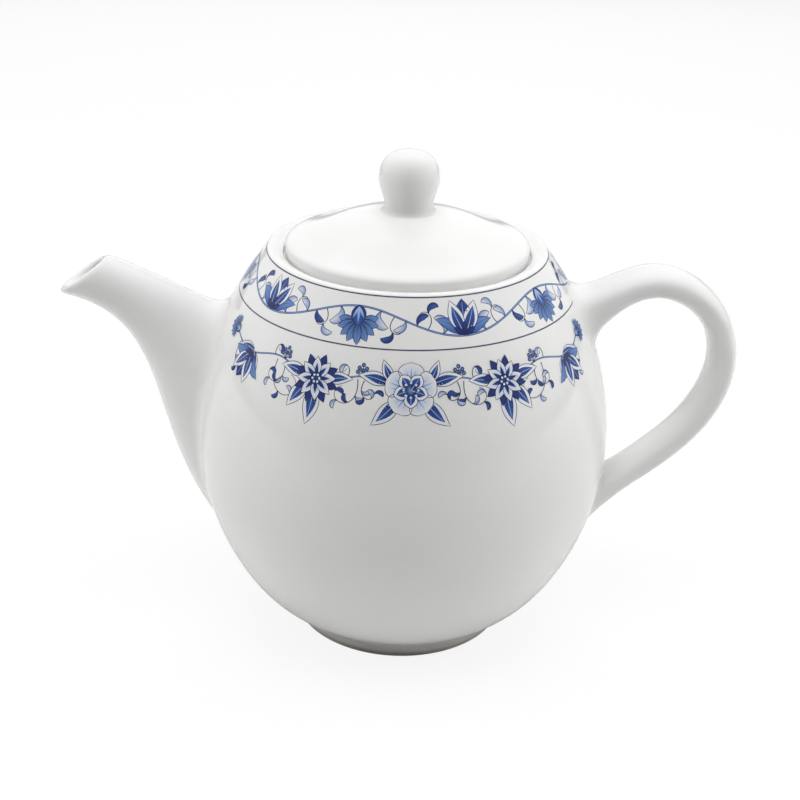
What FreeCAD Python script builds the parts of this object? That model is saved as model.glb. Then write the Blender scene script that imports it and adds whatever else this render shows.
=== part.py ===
"""A glazed porcelain teapot: a round pot on a foot ring, with a spout and a handle luted to its wall,
and a lid with a knob that drops into a recess in the mouth.

Frame: +Z is up, and the origin is the centre of the foot ring, on the table. The spout points to -X,
the handle is on +X. All sizes are in millimetres.
"""
import FreeCAD, Part
import math
import os

from FreeCAD import Vector

# Pot: the outer wall's radius at the heights that shape it
belly_radius = 65.0
belly_height = 60.0
lower_belly_radius = 55.2
lower_belly_height = 26.0
base_curve_radius = 46.7
base_curve_height = 14.0
upper_belly_radius = 60.3
upper_belly_height = 94.0
shoulder_radius = 51.2
shoulder_height = 114.0
rim_radius = 42.7
rim_height = 126.4
wall = 3.6
floor_thickness = 4.5
inner_shoulder_pull = 1.2

# Foot ring
foot_radius = 34.4
foot_width = 5.0
foot_height = 5.0
foot_flare = 0.9
foot_edge_round = 1.0

# Mouth: a rounded lip around a recess that the lid sits in, on a ledge above the throat
lip_rise = 0.2
lip_width = 4.0
lip_outer_fall = 1.1
lip_lead = 4.0
recess_depth = 2.4
ledge_width = 2.5
ledge_thickness = 3.4

# Lid
lid_side_clearance = 0.5
lid_edge_height = 5.4
lid_edge_round_width = 2.8
lid_rise = 8.6
lid_crown = 0.9
lid_edge_upright = 3.4
lid_seat_slope_share = 0.8
lid_wall = 3.4
skirt_clearance = 0.8
skirt_depth = 9.0
skirt_wall = 3.0
vent_diameter = 3.4
vent_distance = 20.0

# Knob
knob_base_radius = 7.3
knob_neck_radius = 7.55
knob_neck_height = 3.2
knob_radius = 9.15
knob_widest_height = 10.2
knob_height = 18.2
knob_crown_radius = 6.95
knob_crown_drop = 2.25

# Spout: reach is measured outwards from the pot's widest radius
spout_wall = 3.2
spout_lip_wall = 2.3
spout_root_width = 37.0
spout_lip_width = 15.0
spout_taper = 1.5
lip_reach = 42.0
lip_tip_height = 111.2
lip_back_reach = 26.4
lip_back_height = 120.6
spout_under_root_height = 28.0
spout_under_swell = 20.4
spout_under_swell_height = 64.0
spout_under_bend = 4.0
spout_under_bend_height = 102.0
spout_top_root_height = 106.0
spout_top_bend = 1.4
spout_top_bend_height = 109.0
spout_top_rise = 11.9
spout_top_rise_height = 115.3
root_depth = 7.0
spout_under_proud = 1.0
spout_top_proud = 1.6

# Strainer holes in the pot's wall, behind the spout
strainer_hole_diameter = 5.0
strainer_pitch = 8.5
strainer_columns = 3
strainer_rows = 5
strainer_height = 66.0

# Handle: an oval strap, on a centre line that is measured outwards from the pot's widest radius
handle_width = 17.6
handle_thickness = 8.8
handle_root_width = 20.0
handle_root_thickness = 21.0
handle_flare_share = 0.18
handle_lower_flare = 0.35
handle_reach = 34.9
handle_reach_height = 91.0
handle_top_height = 117.7
handle_top_reach = 11.0
handle_upper_corner = 28.6
handle_upper_corner_height = 109.6
handle_lower_corner = 28.3
handle_lower_corner_height = 72.1
handle_tail_reach = 9.8
handle_tail_height = 53.6
handle_upper_root_height = 106.0
handle_upper_neck = 5.5
handle_upper_neck_rise = 5.2
handle_lower_root_height = 41.8

AXIS = Vector(0, 0, 1)
CENTRE = Vector(0, 0, 0)
SECTION_POINTS = 20


def point(radius, height):
    """A point of a turned profile, in the plane Y = 0."""
    return Vector(radius, 0, height)


def line(start, end):
    return Part.LineSegment(start, end).toShape()


def smooth(points, first_tangent=None, last_tangent=None):
    """A curve through the points, with its end directions where they are given."""
    curve = Part.BSplineCurve()
    if first_tangent and last_tangent:
        curve.interpolate(Points=points, InitialTangent=first_tangent, FinalTangent=last_tangent)
    else:
        curve.interpolate(Points=points)
    return curve


def turned(edges):
    """The solid that a closed profile makes when it is turned about the pot's axis."""
    return Part.Face(Part.Wire(edges)).revolve(CENTRE, AXIS, 360)


def inset(curve, at, distance):
    """The point beside a rising profile, moved square to it towards the axis."""
    u = curve.parameter(at)
    direction = curve.tangent(u)[0]
    return at + Vector(-direction.z, 0, direction.x) * distance


# Pot wall: one smooth profile from the foot to the lip
foot_joint_radius = foot_radius + foot_flare
wall_points = [
    point(foot_joint_radius, foot_height),
    point(base_curve_radius, base_curve_height),
    point(lower_belly_radius, lower_belly_height),
    point(belly_radius, belly_height),
    point(upper_belly_radius, upper_belly_height),
    point(shoulder_radius, shoulder_height),
    point(rim_radius, rim_height),
]
outer_curve = smooth(wall_points)
lip_height = rim_height + lip_rise
recess_radius = rim_radius - lip_width - lip_outer_fall
ledge_height = lip_height - recess_depth
throat_radius = recess_radius - ledge_width
floor_height = foot_height + floor_thickness


def wall_radius_at(height):
    """The pot's outer radius at a height between the foot and the rim."""
    level = Part.LineSegment(point(0, height), point(2 * belly_radius, height))
    crossing = outer_curve.intersect(level)[0]
    return crossing.X


def pot_outline():
    """The wall's outer profile and the lip, up to the recess."""
    rim = point(rim_radius, rim_height)
    lip_top = point(recess_radius + lip_width / 2, lip_height)
    recess_top = point(recess_radius, lip_height - lip_width / 2)
    rise = outer_curve.tangent(outer_curve.LastParameter)[0]
    lip_curve = smooth([rim, lip_top, recess_top], rise * lip_lead, Vector(0, 0, -lip_width))
    return [outer_curve.toShape(), lip_curve.toShape()], recess_top


def make_pot_body():
    outline, recess_top = pot_outline()
    recess_foot = point(recess_radius, ledge_height)
    throat_top = point(throat_radius, ledge_height)
    throat_foot = point(throat_radius, ledge_height - ledge_thickness)
    inner = [point(0, floor_height)]
    inner += [inset(outer_curve, at, wall) for at in wall_points[1:-1]]
    inner.append(throat_foot)
    shoulder_slope = Vector(throat_radius - shoulder_radius, 0, rim_height - shoulder_height)
    inner_curve = smooth(inner, Vector(belly_radius, 0, 0), shoulder_slope * inner_shoulder_pull)
    edges = [line(point(0, foot_height), wall_points[0])] + outline
    edges += [line(recess_top, recess_foot), line(recess_foot, throat_top), line(throat_top, throat_foot)]
    edges += [inner_curve.toShape(), line(point(0, floor_height), point(0, foot_height))]
    return turned(edges).cut(strainer_holes())


def make_pot_envelope():
    """The pot as a full solid, which trims what is luted to its wall."""
    outline, recess_top = pot_outline()
    top = point(0, recess_top.z)
    edges = [line(point(0, foot_height), wall_points[0])] + outline
    edges += [line(recess_top, top), line(top, point(0, foot_height))]
    return turned(edges)


def strainer_holes():
    """Round holes through the wall, in staggered columns behind the spout."""
    holes = []
    for column in range(strainer_columns):
        across = (column - (strainer_columns - 1) / 2) * strainer_pitch
        stagger = strainer_pitch / 2 if column % 2 == 0 else 0
        for row in range(strainer_rows - (column % 2 == 0)):
            up = strainer_height + (row - (strainer_rows - 1) / 2) * strainer_pitch + stagger
            start = Vector(-wall_radius_at(up) - wall, across, up)
            holes.append(Part.makeCylinder(strainer_hole_diameter / 2, 4 * wall, start, Vector(1, 0, 0)))
    return Part.makeCompound(holes)


def make_foot_ring():
    """The ring that the pot stands on: it tapers to a rounded, flat edge."""
    inner_radius = foot_radius - foot_width
    section = Part.makePolygon([
        point(foot_joint_radius, foot_height),
        point(foot_radius, 0),
        point(inner_radius, 0),
        point(inner_radius - foot_flare, foot_height),
        point(foot_joint_radius, foot_height),
    ])
    ring = Part.Face(section).revolve(CENTRE, AXIS, 360)
    standing_edges = [e for e in ring.Edges if e.BoundBox.ZMax < foot_height / 2 and len(e.Vertexes) == 1]
    return ring.makeFillet(min(foot_edge_round, foot_width / 3), standing_edges)


def oval(centre, half_height, half_width, up):
    """A closed oval in the plane of the direction `up` and the Y axis."""
    points = []
    for step in range(SECTION_POINTS):
        angle = 2 * math.pi * step / SECTION_POINTS
        across = Vector(0, half_width * math.sin(angle), 0)
        points.append(centre + up * (half_height * math.cos(angle)) + across)
    curve = Part.BSplineCurve()
    curve.interpolate(Points=points, PeriodicFlag=True, Parameters=range(SECTION_POINTS + 1))
    return Part.Wire(curve.toShape())


def bezier(ends):
    curve = Part.BezierCurve()
    curve.setPoles(ends)
    return curve


def outwards(side, reach, height):
    """A point beside the pot, on the spout's side (-1) or the handle's (+1)."""
    return Vector(side * (belly_radius + reach), 0, height)


def spout_edges():
    """The spout's lower and upper edges, from the pot's wall to the lip."""
    under_reach = wall_radius_at(spout_under_root_height) + spout_under_proud - belly_radius
    top_reach = wall_radius_at(spout_top_root_height) + spout_top_proud - belly_radius
    under = bezier([
        outwards(-1, under_reach, spout_under_root_height),
        outwards(-1, spout_under_swell, spout_under_swell_height),
        outwards(-1, spout_under_bend, spout_under_bend_height),
        outwards(-1, lip_reach, lip_tip_height),
    ])
    top = bezier([
        outwards(-1, top_reach, spout_top_root_height),
        outwards(-1, spout_top_bend, spout_top_bend_height),
        outwards(-1, spout_top_rise, spout_top_rise_height),
        outwards(-1, lip_back_reach, lip_back_height),
    ])
    return under, top


SPOUT_STATIONS = (0.0, 0.22, 0.45, 0.7, 1.0)


def spout_loft(is_bore):
    """The spout's outside, or its bore, as a loft of ovals that narrow from the root to the lip."""
    under, top = spout_edges()
    sections = []
    for t in SPOUT_STATIONS:
        low, high = under.value(t), top.value(t)
        up = (high - low).normalize()
        thickness = spout_wall + (spout_lip_wall - spout_wall) * t
        taper = (1 - t) ** spout_taper
        half_width = (spout_lip_width + (spout_root_width - spout_lip_width) * taper) / 2
        half_height = (high - low).Length / 2
        if is_bore:
            half_width -= thickness
            half_height -= thickness
        sections.append(((low + high) / 2, half_height, half_width, up))
    centre, half_height, half_width, up = sections[0]
    inside = (centre + Vector(2 * root_depth, 0, 0), half_height, half_width, up)
    sections.insert(0, inside)
    if is_bore:
        centre, half_height, half_width, up = sections[-1]
        beyond = Vector(-up.z, 0, up.x) * spout_wall
        sections.append((centre + beyond, half_height, half_width, up))
    return Part.makeLoft([oval(*section) for section in sections], True, False)


def make_spout(envelope):
    return spout_loft(False).cut(spout_loft(True)).cut(envelope)


def wall_point_at(height):
    """The point of the wall's profile at a height."""
    return point(wall_radius_at(height), height)


def handle_line():
    """The handle's centre line, from inside the wall at the top to inside the wall at the bottom."""
    upper_root = wall_point_at(handle_upper_root_height)
    lower_root = wall_point_at(handle_lower_root_height)
    return smooth([
        inset(outer_curve, upper_root, root_depth),
        upper_root + Vector(handle_upper_neck, 0, handle_upper_neck_rise),
        outwards(1, handle_top_reach, handle_top_height),
        outwards(1, handle_upper_corner, handle_upper_corner_height),
        outwards(1, handle_reach, handle_reach_height),
        outwards(1, handle_lower_corner, handle_lower_corner_height),
        outwards(1, handle_tail_reach, handle_tail_height),
        Vector(lower_root.x - root_depth, 0, lower_root.z - root_depth / 2),
    ])


HANDLE_STATIONS = 15


def make_handle(envelope):
    """An oval strap that thickens where it meets the pot, trimmed to the wall."""
    path = handle_line()
    start, end = path.FirstParameter, path.LastParameter
    sections = []
    for step in range(HANDLE_STATIONS):
        share = step / (HANDLE_STATIONS - 1)
        u = start + (end - start) * share
        along = path.tangent(u)[0]
        up = Vector(-along.z, 0, along.x)
        upper_flare = max(1 - share / handle_flare_share, 0) ** 2
        lower_flare = max(1 - (1 - share) / handle_flare_share, 0) ** 2
        flare = upper_flare + handle_lower_flare * lower_flare
        half_height = (handle_thickness + (handle_root_thickness - handle_thickness) * flare) / 2
        half_width = (handle_width + (handle_root_width - handle_width) * flare) / 2
        sections.append(oval(path.value(u), half_height, half_width, up))
    return Part.makeLoft(sections, True, False).cut(envelope)


# Lid: it sits on the ledge, and its skirt hangs in the throat
lid_radius = recess_radius - lid_side_clearance
lid_seat_height = ledge_height + lid_edge_height + lid_rise
skirt_radius = throat_radius - skirt_clearance


def make_lid():
    """A low dome with a rounded edge, a flat seat for the knob and a vent hole behind it."""
    edge_foot = point(lid_radius, ledge_height)
    edge_side = point(lid_radius, ledge_height + lid_edge_upright)
    edge_top = point(lid_radius - lid_edge_round_width, ledge_height + lid_edge_height)
    seat_edge = point(knob_base_radius, lid_seat_height)
    fall = (edge_top.z - seat_edge.z) / (edge_top.x - seat_edge.x)
    middle = point((seat_edge.x + edge_top.x) / 2, (seat_edge.z + edge_top.z) / 2 + lid_crown)
    across = edge_top.x - seat_edge.x
    dome_end = Vector(-across, 0, -across * fall * lid_seat_slope_share)
    dome = smooth([edge_side, edge_top, middle, seat_edge], Vector(0, 0, lid_edge_round_width), dome_end)
    skirt_top = point(skirt_radius, ledge_height)
    skirt_foot = point(skirt_radius, ledge_height - skirt_depth)
    skirt_inner_foot = point(skirt_radius - skirt_wall, ledge_height - skirt_depth)
    skirt_inner_top = point(skirt_radius - skirt_wall, ledge_height - lid_wall / 2)
    ceiling = point(0, lid_seat_height - lid_wall)
    hollow = smooth([skirt_inner_top, point(middle.x, middle.z - lid_wall), ceiling],
                    Vector(0, 0, lid_edge_height), Vector(-skirt_radius, 0, 0))
    edges = [line(edge_foot, edge_side), dome.toShape(), line(seat_edge, point(0, lid_seat_height))]
    edges += [line(point(0, lid_seat_height), ceiling), hollow.toShape()]
    edges += [line(skirt_inner_top, skirt_inner_foot), line(skirt_inner_foot, skirt_foot)]
    edges += [line(skirt_foot, skirt_top), line(skirt_top, edge_foot)]
    vent = Part.makeCylinder(vent_diameter / 2, 4 * lid_rise, Vector(0, vent_distance, ledge_height), AXIS)
    return turned(edges).cut(vent)


def make_lid_knob():
    """An acorn-shaped knob, widest above its middle, on the lid's flat seat."""
    foot = lid_seat_height
    top = point(0, foot + knob_height)
    side = smooth([
        point(knob_base_radius, foot),
        point(knob_neck_radius, foot + knob_neck_height),
        point(knob_radius, foot + knob_widest_height),
        point(knob_crown_radius, top.z - knob_crown_drop),
        top,
    ], Vector(0, 0, knob_height / 2), Vector(-knob_height, 0, 0))
    edges = [side.toShape(), line(top, point(0, foot)), line(point(0, foot), point(knob_base_radius, foot))]
    return turned(edges)


def main():
    os.makedirs("parts", exist_ok=True)
    envelope = make_pot_envelope()
    pieces = {
        "pot_body": make_pot_body(),
        "foot_ring": make_foot_ring(),
        "spout": make_spout(envelope),
        "handle": make_handle(envelope),
        "lid": make_lid(),
        "lid_knob": make_lid_knob(),
    }
    for name, shape in pieces.items():
        box = shape.BoundBox
        print(name, "valid", shape.isValid(), "solids", len(shape.Solids), "volume", round(shape.Volume, 1),
              "X", round(box.XMin, 1), round(box.XMax, 1), "Z", round(box.ZMin, 1), round(box.ZMax, 1))
        shape.exportStep(f"parts/{name}.step")


main()
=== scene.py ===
import math

import bpy
import numpy as np
from mathutils import Matrix, Vector


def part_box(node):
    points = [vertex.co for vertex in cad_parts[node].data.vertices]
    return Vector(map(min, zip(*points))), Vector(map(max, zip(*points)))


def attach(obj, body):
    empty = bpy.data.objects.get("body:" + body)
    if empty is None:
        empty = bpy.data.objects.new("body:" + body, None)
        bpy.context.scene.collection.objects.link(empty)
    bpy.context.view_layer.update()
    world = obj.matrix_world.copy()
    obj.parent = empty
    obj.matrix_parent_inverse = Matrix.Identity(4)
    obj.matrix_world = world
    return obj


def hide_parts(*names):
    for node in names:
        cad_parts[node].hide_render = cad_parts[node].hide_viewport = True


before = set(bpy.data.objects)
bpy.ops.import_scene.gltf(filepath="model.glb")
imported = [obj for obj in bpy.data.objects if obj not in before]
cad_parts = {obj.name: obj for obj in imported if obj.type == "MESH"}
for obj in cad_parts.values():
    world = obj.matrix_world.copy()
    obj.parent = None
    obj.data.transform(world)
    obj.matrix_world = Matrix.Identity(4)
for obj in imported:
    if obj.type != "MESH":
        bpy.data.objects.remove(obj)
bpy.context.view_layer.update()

# Pot wall
# The pot is slip-cast porcelain in one piece, round about its axis: its wall runs from the foot up to a
# rounded lip, down into the recess and the throat that take the lid, and on down the inside to the floor.
# It is dipped in a clear glossy glaze, and the strainer holes behind the spout are pierced before firing.
MM = 0.001
foot_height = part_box("pot_body")[0].z / MM
rim_radius, rim_height = 42.7, 126.4
wall_stations = [
    (35.3, foot_height), (46.7, 14), (55.2, 26), (65, 60), (60.3, 94), (51.2, 114), (rim_radius, rim_height),
]
wall_thickness, floor_thickness = 3.6, 4.5
lip_rise, lip_fall = 0.2, 2.0
recess_radius, recess_depth = 37.6, 2.4
throat_radius, throat_depth = 35.1, 3.4
gallery_round = 0.4
floor_height = foot_height + floor_thickness
lip_height = rim_height + lip_rise
ledge_height = lip_height - recess_depth
throat_height = ledge_height - throat_depth


def smooth_line(stations, count, first=None, last=None):
    """Points on a smooth curve through stations. First and last are its end directions, where they matter."""
    stations = np.array(stations, float)
    steps = np.linalg.norm(np.diff(stations, axis=0), axis=1)
    along = np.concatenate([[0], np.cumsum(steps)])
    size = len(stations)
    system = np.zeros((size, size))
    target = np.zeros_like(stations)
    for i in range(1, size - 1):
        before, after = steps[i - 1], steps[i]
        system[i, i - 1:i + 2] = after, 2 * (before + after), before
        rise_before = (stations[i] - stations[i - 1]) * after / before
        rise_after = (stations[i + 1] - stations[i]) * before / after
        target[i] = 3 * (rise_before + rise_after)
    chords = np.diff(stations, axis=0) / steps[:, None]
    for end, inner, direction in ((0, 1, first), (-1, -2, last)):
        if direction is None:
            system[end, end], system[end, inner] = 2, 1
            target[end] = 3 * chords[end]
        else:
            system[end, end] = 1
            target[end] = direction
    slopes = np.linalg.solve(system, target)
    at = np.linspace(0, along[-1], count)
    piece = np.clip(np.searchsorted(along, at) - 1, 0, size - 2)
    h = steps[piece][:, None]
    s = (at - along[piece])[:, None] / h
    start_weight = (1 + 2 * s) * (1 - s) ** 2
    end_weight = s ** 2 * (3 - 2 * s)
    bend = h * s * (1 - s) * ((1 - s) * slopes[piece] - s * slopes[piece + 1])
    return start_weight * stations[piece] + end_weight * stations[piece + 1] + bend


def eased(corners, radius, count=5):
    """A line through corner points, each corner rounded off over the radius."""
    corners = [np.array(c, float) for c in corners]
    line = [corners[0]]
    for before, corner, after in zip(corners, corners[1:], corners[2:]):
        reach_in = min(radius, np.linalg.norm(before - corner) / 2)
        reach_out = min(radius, np.linalg.norm(after - corner) / 2)
        start = corner + (before - corner) / np.linalg.norm(before - corner) * reach_in
        end = corner + (after - corner) / np.linalg.norm(after - corner) * reach_out
        for s in np.linspace(0, 1, count):
            line.append((1 - s) ** 2 * start + 2 * s * (1 - s) * corner + s ** 2 * end)
    return np.array(line + [corners[-1]])


outer_line = smooth_line(wall_stations, count=140)


def wall_radius(height):
    """The pot's outer radius at a height, in millimetres."""
    return float(np.interp(height, outer_line[:, 1], outer_line[:, 0]))


def inset(station, depth):
    """The point beside a station of the outer wall, moved square to it into the pot."""
    nearest = int(np.argmin(np.linalg.norm(outer_line - np.array(station), axis=1)))
    nearest = min(max(nearest, 1), len(outer_line) - 2)
    ahead = outer_line[nearest + 1] - outer_line[nearest - 1]
    ahead /= np.linalg.norm(ahead)
    return np.array(station) + depth * np.array([-ahead[1], ahead[0]])


inner_stations = [(0, floor_height)] + [inset(s, wall_thickness) for s in wall_stations[1:-1]]
inner_stations.append((throat_radius, throat_height))
inner_line = smooth_line(inner_stations, count=110, first=(1, 0))[::-1]
rise = outer_line[-1] - outer_line[-2]
lip_line = smooth_line([
    outer_line[-1], (recess_radius + lip_fall, lip_height), (recess_radius, lip_height - lip_fall),
], count=28, first=rise / np.linalg.norm(rise), last=(0, -1))
gallery_line = eased([
    lip_line[-1], (recess_radius, ledge_height), (throat_radius, ledge_height), *inner_line[:2],
], gallery_round)
base_line = [(radius, foot_height) for radius in (0, 10, 20, 30)]
pot_line = np.concatenate([base_line, outer_line, lip_line[1:], gallery_line[1:-1], inner_line[1:]])


class Wire:
    """A node's output socket. Operators on it add Math nodes, and node() adds any other kind."""

    def __init__(self, tree, socket):
        self.tree = tree
        self.socket = socket

    def node(self, kind, inputs=None, output=0, **settings):
        made = self.tree.nodes.new(kind)
        for name, value in settings.items():
            setattr(made, name, value)
        for key, value in (inputs or {}).items():
            if isinstance(value, Wire):
                self.tree.links.new(value.socket, made.inputs[key])
            else:
                made.inputs[key].default_value = value
        return Wire(self.tree, made.outputs[output])

    def math(self, operation, first, second=0.0):
        return self.node("ShaderNodeMath", {0: first, 1: second}, operation=operation)

    def blend(self, first, second):
        """The colour between two, at the share that this wire gives."""
        return self.node("ShaderNodeMix", {0: self, 6: first, 7: second}, output=2, data_type="RGBA")

    def feed(self, node, socket):
        self.tree.links.new(self.socket, node.inputs[socket])

    def __add__(self, other):
        return self.math("ADD", self, other)

    def __sub__(self, other):
        return self.math("SUBTRACT", self, other)

    def __rsub__(self, other):
        return self.math("SUBTRACT", other, self)

    def __mul__(self, other):
        return self.math("MULTIPLY", self, other)

    def __truediv__(self, other):
        return self.math("DIVIDE", self, other)

    def __rtruediv__(self, other):
        return self.math("DIVIDE", other, self)

    __radd__ = __add__
    __rmul__ = __mul__


def new_finish(name):
    """A new material, its surface shader and a wire that gives each point's place on the piece."""
    material = bpy.data.materials.new(name)
    material.use_nodes = True
    tree = material.node_tree
    place = Wire(tree, tree.nodes.new("ShaderNodeTexCoord").outputs["Object"])
    return material, tree.nodes["Principled BSDF"], place


def glaze(name, colour, roughness, speck):
    """A clear glossy glaze over white porcelain: a little uneven in tone and sheen, with a faint ripple."""
    fine_share = 0.3
    sheen_spread = 0.05
    material, surface, place = new_finish(name)
    cloud = place.node("ShaderNodeTexNoise", {"Vector": place, "Scale": 38.0, "Detail": 3.0})
    fine = place.node("ShaderNodeTexNoise", {"Vector": place, "Scale": 900.0, "Detail": 2.0})
    dark = [c * (1 - speck) for c in colour[:3]] + [1]
    patchy = cloud * (1 - fine_share) + fine * fine_share
    patchy.blend(dark, colour).feed(surface, "Base Color")
    sheen = cloud * sheen_spread + (roughness - sheen_spread / 2)
    sheen.feed(surface, "Roughness")
    ripple = place.node("ShaderNodeTexNoise", {"Vector": place, "Scale": 70.0, "Detail": 1.0})
    bump = place.node("ShaderNodeBump", {"Height": ripple, "Strength": 0.05, "Distance": 0.6 * MM})
    bump.feed(surface, "Normal")
    surface.inputs["IOR"].default_value = 1.5
    return material


white_glaze = glaze("white_glaze", (0.86, 0.86, 0.855, 1), roughness=0.09, speck=0.02)


def new_tree(name, inputs):
    """A geometry tree with named inputs, the wires from these inputs and their sockets' identifiers."""
    tree = bpy.data.node_groups.new(name, "GeometryNodeTree")
    tree.interface.new_socket("Geometry", in_out="INPUT", socket_type="NodeSocketGeometry")
    tree.interface.new_socket("Geometry", in_out="OUTPUT", socket_type="NodeSocketGeometry")
    keys = {}
    for label, kind in inputs:
        keys[label] = tree.interface.new_socket(label, in_out="INPUT", socket_type=kind).identifier
    entry = tree.nodes.new("NodeGroupInput")
    wires = {socket.name: Wire(tree, socket) for socket in entry.outputs if socket.name}
    return tree, wires, keys


def close_tree(tree, geometry):
    geometry.feed(tree.nodes.new("NodeGroupOutput"), "Geometry")


# The lathe: it turns the object's own line of points, x out from the axis and z up, into a closed piece
weld_gap = 0.002
column_guard = 0.0001
turned_tree, lathe, turned_keys = new_tree("turned", [
    ("Segments", "NodeSocketInt"), ("Material", "NodeSocketMaterial"),
])
line_size = lathe["Geometry"].node("GeometryNodeAttributeDomainSize", {0: lathe["Geometry"]})
sheet = line_size.node("GeometryNodeMeshGrid", {
    "Size X": 1.0, "Size Y": 1.0, "Vertices X": lathe["Segments"] + 1, "Vertices Y": line_size,
})
corner = line_size.node("GeometryNodeInputIndex")
column = corner.math("FLOOR", corner / line_size + column_guard)
row = corner - column * line_size
line_place = row.node("GeometryNodeInputPosition")
line_point = row.node("GeometryNodeSampleIndex", {
    "Geometry": lathe["Geometry"], "Value": line_place, "Index": row,
}, data_type="FLOAT_VECTOR", domain="POINT")
out, up = (row.node("ShaderNodeSeparateXYZ", {0: line_point}, output=axis) for axis in (0, 2))
turn = column * math.tau / lathe["Segments"]
turned_place = row.node("ShaderNodeCombineXYZ", {
    0: out * turn.math("SINE", turn), 1: 0 - out * turn.math("COSINE", turn), 2: up,
})
shell = row.node("GeometryNodeSetPosition", {"Geometry": sheet, "Position": turned_place})
shell = row.node("GeometryNodeMergeByDistance", {"Geometry": shell, "Distance": weld_gap * MM})
shell = row.node("GeometryNodeSetShadeSmooth", {0: shell, "Shade Smooth": True})
shell = row.node("GeometryNodeRealizeInstances", {"Geometry": shell})
shell = row.node("GeometryNodeSetMaterial", {"Geometry": shell, "Material": lathe["Material"]})
close_tree(turned_tree, shell)

# The awl: it pierces round holes through a piece, one at each point of a pattern
pierced_tree, awl, pierced_keys = new_tree("pierced", [
    ("Pattern", "NodeSocketObject"), ("Radius", "NodeSocketFloat"), ("Length", "NodeSocketFloat"),
    ("Direction", "NodeSocketRotation"), ("Material", "NodeSocketMaterial"),
])
pattern = awl["Geometry"].node("GeometryNodeObjectInfo", {"Object": awl["Pattern"]}, output="Geometry")
pin = pattern.node("GeometryNodeMeshCylinder", {
    "Vertices": 32, "Radius": awl["Radius"], "Depth": awl["Length"],
})
pins = pattern.node("GeometryNodeInstanceOnPoints", {
    "Points": pattern, "Instance": pin, "Rotation": awl["Direction"],
})
pins = pattern.node("GeometryNodeRealizeInstances", {"Geometry": pins})
pierced = pattern.node("GeometryNodeMeshBoolean", {
    0: awl["Geometry"], 1: pins,
}, operation="DIFFERENCE", solver="EXACT")
pierced = pattern.node("GeometryNodeSetMaterial", {"Geometry": pierced, "Material": awl["Material"]})
close_tree(pierced_tree, pierced)


def new_piece(name, points, edges=(), faces=()):
    """A new object in the scene, made from points in millimetres."""
    mesh = bpy.data.meshes.new(name)
    mesh.from_pydata([tuple(float(c) * MM for c in p) for p in points], edges, faces)
    piece = bpy.data.objects.new(name, mesh)
    bpy.context.scene.collection.objects.link(piece)
    return piece


def run_tree(piece, tree, keys, values):
    """Runs a geometry tree on a piece and keeps the result as the piece's plain mesh."""
    modifier = piece.modifiers.new(tree.name, "NODES")
    modifier.node_group = tree
    for label, value in values.items():
        modifier[keys[label]] = value
    bpy.context.view_layer.update()
    depsgraph = bpy.context.evaluated_depsgraph_get()
    result = bpy.data.meshes.new_from_object(
        piece.evaluated_get(depsgraph), preserve_all_data_layers=True, depsgraph=depsgraph)
    piece.modifiers.clear()
    flat = piece.data
    piece.data = result
    bpy.data.meshes.remove(flat)
    result.name = piece.name


def line_piece(name, line):
    """An object that is only a line of (radius, height) points, in millimetres."""
    edges = [(i, i + 1) for i in range(len(line) - 1)]
    return new_piece(name, [(radius, 0, height) for radius, height in line], edges)


def turned(name, line, material, segments=192):
    """A turned piece, from a line of (radius, height) points in millimetres."""
    piece = line_piece(name, line)
    run_tree(piece, turned_tree, turned_keys, {"Segments": segments, "Material": material})
    return piece


def pierce(piece, holes, diameter, length, direction, material):
    """Pierces round holes through a piece."""
    pattern_points = new_piece("hole_pattern", holes)
    run_tree(piece, pierced_tree, pierced_keys, {
        "Pattern": pattern_points, "Radius": diameter / 2 * MM, "Length": length * MM,
        "Direction": direction, "Material": material,
    })
    bpy.data.objects.remove(pattern_points)


pot_wall = turned("pot_wall", pot_line, white_glaze)
strainer_pitch, strainer_diameter = 8.5, 5.0
strainer_height = 66.0
strainer_pin = 21.0
strainer_points = []
for across, rows in ((-1, 4), (0, 5), (1, 4)):
    for up_row in range(rows):
        height = strainer_height + (up_row - (rows - 1) / 2) * strainer_pitch
        strainer_points.append((-wall_radius(height), across * strainer_pitch, height))
pierce(pot_wall, strainer_points, strainer_diameter, strainer_pin, (0, math.radians(90), 0), white_glaze)
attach(pot_wall, "pot")
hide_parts("pot_body")

# Foot ring
# The pot stands on a low ring of the same porcelain, sponged to a soft hollow where it meets the wall.
# Glaze would stick to the kiln shelf, so it is wiped off the standing edge, which stays matt. The foot's
# colours are painted darker and warmer towards that edge: painted shade near the floor.
foot_radius, foot_width = 34.4, 5.0
foot_flare = 0.9
foot_edge_round, foot_edge_lean = 1.2, 0.2
hollow_height, hollow_spread, hollow_drop = 9.0, 1.7, 0.4
foot_overlap = 0.5
bare_edge, bare_wave, bare_fade = 2.4, 0.6, 1.4


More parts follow.
